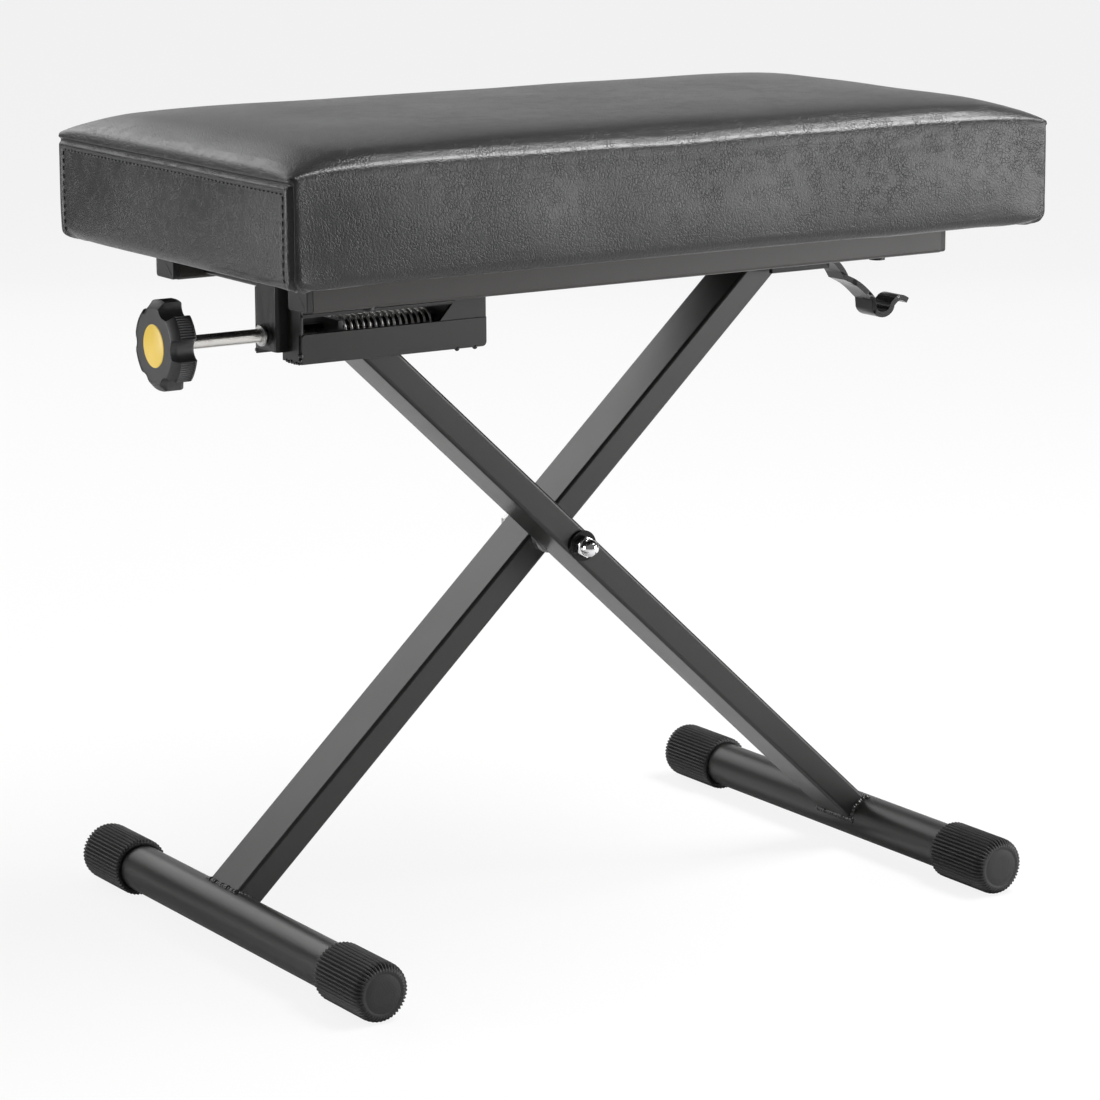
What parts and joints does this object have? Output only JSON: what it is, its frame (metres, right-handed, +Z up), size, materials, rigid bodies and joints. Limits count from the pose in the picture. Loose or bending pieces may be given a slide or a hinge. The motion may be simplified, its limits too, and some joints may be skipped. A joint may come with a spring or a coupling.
{
  "type": "keyboard bench",
  "caption": "Padded bench on crossed folding legs with ribbed rubber feet, a screw height adjuster with hand knob, and a release lever.",
  "frame": {"origin": "on the floor, straight below the bolt the two legs cross on, midway between the front and rear ends of the feet", "axes": "+Z up, +X along the seat to the right, away from the knob, front of the bench at -Y"},
  "size_m": [0.6192, 0.388, 0.548],
  "materials": {
    "leatherette": "semi-gloss grained",
    "foam": "open-cell foam, hidden by the cover",
    "board": "black non-woven cover over plywood",
    "black_steel": "semi-gloss powder coat",
    "gloss_black": "gloss",
    "black_plastic": "matte",
    "knob_plastic": "fine matte",
    "badge_yellow": "satin",
    "zinc_steel": "zinc plated",
    "bright_steel": "satin",
    "chrome": "polished",
    "foot_rubber": "matte ribbed"
  },
  "bodies": {
    "seat": {"cushion_cover": "leatherette", "cushion_foam": "foam", "seat_board": "board", "rail_front": "black_steel", "rail_rear": "black_steel", "rail_plug_front_left": "black_plastic", "rail_plug_front_right": "black_plastic", "rail_plug_rear_left": "black_plastic", "rail_plug_rear_right": "black_plastic", "beam_left": "black_steel", "beam_middle": "black_steel", "beam_right": "black_steel", "beam_axle": "black_steel", "seat_screws": "black_steel", "adjuster_housing": "black_steel", "bearing_bracket": "black_steel", "spring_stop": "black_steel", "spring": "bright_steel", "axle_plates": "black_steel", "lever_hanger": "black_steel", "lever_pin": "zinc_steel"},
    "screw": {"lead_screw": "bright_steel", "knob": "knob_plastic", "knob_badge": "badge_yellow"},
    "nut": {"nut_carriage": "black_steel"},
    "release": {"release_lever": "gloss_black"},
    "leg_rear": {"rear_leg": "black_steel", "rear_axle": "zinc_steel", "left_foot_tube": "black_steel", "left_foot_cap_front": "foot_rubber", "left_foot_cap_rear": "foot_rubber", "pivot_bolt": "zinc_steel", "pivot_spacer": "zinc_steel", "pivot_washer": "gloss_black", "pivot_nut": "chrome"},
    "leg_front": {"front_leg": "black_steel", "leg_ears": "black_steel", "leg_pins": "zinc_steel", "right_foot_tube": "black_steel", "right_foot_cap_front": "foot_rubber", "right_foot_cap_rear": "foot_rubber"}
  },
  "joints": [
    {"name": "height", "type": "hinge", "parent": "seat", "child": "leg_rear", "pos_m": [0.19104, 0, 0.43], "axis": [0, -1, 0], "range_deg": [-4.7, 6.2]},
    {"name": "scissor", "type": "hinge", "parent": "leg_rear", "child": "leg_front", "pos_m": [0, 0, 0.252], "axis": [0, -1, 0], "range_deg": [-12.5, 9.5]},
    {"name": "nut_slide", "type": "slide", "parent": "seat", "child": "nut", "axis": [1, 0, 0], "range_m": [-0.0277, 0.0366], "deforming": ["spring"]},
    {"name": "knob_turn", "type": "hinge", "parent": "seat", "child": "screw", "pos_m": [-0.31201, -0.0225, 0.415], "axis": [1, 0, 0], "range_deg": [-2000, 2650]},
    {"name": "release_pull", "type": "hinge", "parent": "seat", "child": "release", "pos_m": [0.23304, 0, 0.432], "axis": [0, -1, 0], "range_deg": [0, 18], "stiffness_Nm_per_rad": 1.2, "springref_deg": -14.32}
  ],
  "couplings": [
    {"joint": "scissor", "follows": "height", "ratio": -2},
    {"joint": "nut_slide", "follows": "height", "m_per_rad": 0.336},
    {"joint": "knob_turn", "follows": "height", "ratio": 422.23}
  ]
}
